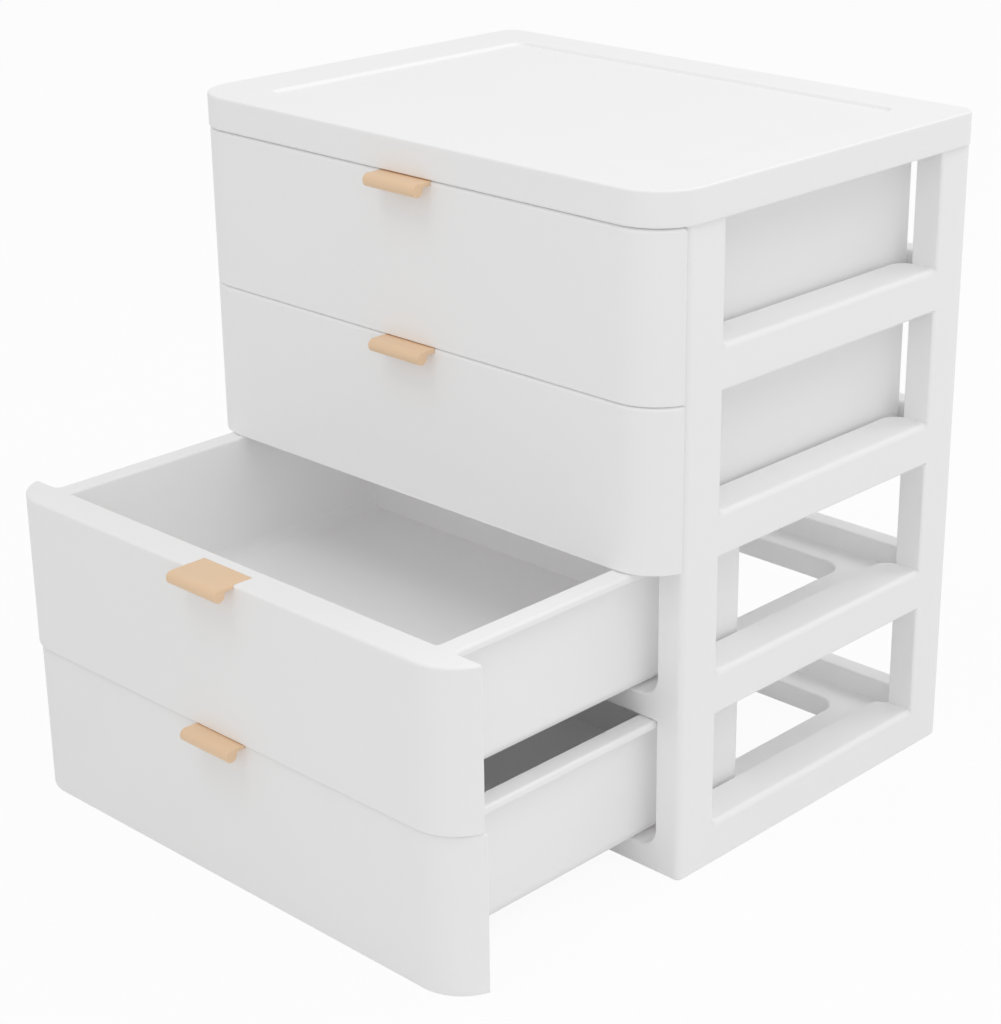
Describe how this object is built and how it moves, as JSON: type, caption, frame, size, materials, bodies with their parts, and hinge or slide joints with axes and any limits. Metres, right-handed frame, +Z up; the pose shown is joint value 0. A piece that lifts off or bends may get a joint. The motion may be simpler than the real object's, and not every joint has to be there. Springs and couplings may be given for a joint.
{
  "type": "desktop drawer unit",
  "caption": "Small desktop drawer tower: open-sided moulded tier frames stacked under a shallow tray top, with smooth white drawers that slide out by round-nosed tan edge pulls.",
  "frame": {"origin": "on the surface that the unit stands on, at the middle of the footprint that it has with its two lower drawers at rest about 100 mm open", "axes": "+X to the unit's right seen from the front, +Y towards its rear, +Z up; the drawers open along -Y"},
  "size_m": [0.25, 0.2933, 0.2668],
  "materials": {
    "white_plastic": "satin",
    "tan_plastic": "satin"
  },
  "bodies": {
    "case": {"top_panel": "white_plastic", "tier_frame_1": "white_plastic", "tier_frame_2": "white_plastic", "tier_frame_3": "white_plastic", "tier_frame_4": "white_plastic"},
    "drawer_1": {"drawer_1": "white_plastic", "handle_1": "tan_plastic"},
    "drawer_2": {"drawer_2": "white_plastic", "handle_2": "tan_plastic"},
    "drawer_3": {"drawer_3": "white_plastic", "handle_3": "tan_plastic"},
    "drawer_4": {"drawer_4": "white_plastic", "handle_4": "tan_plastic"}
  },
  "joints": [
    {"name": "drawer_1_slide", "type": "slide", "parent": "case", "child": "drawer_1", "axis": [0, -1, 0], "range_m": [0, 0.115]},
    {"name": "drawer_2_slide", "type": "slide", "parent": "case", "child": "drawer_2", "axis": [0, -1, 0], "range_m": [0, 0.115]},
    {"name": "drawer_3_slide", "type": "slide", "parent": "case", "child": "drawer_3", "axis": [0, -1, 0], "range_m": [-0.1004, 0.0146]},
    {"name": "drawer_4_slide", "type": "slide", "parent": "case", "child": "drawer_4", "axis": [0, -1, 0], "range_m": [-0.0992, 0.0158]}
  ]
}
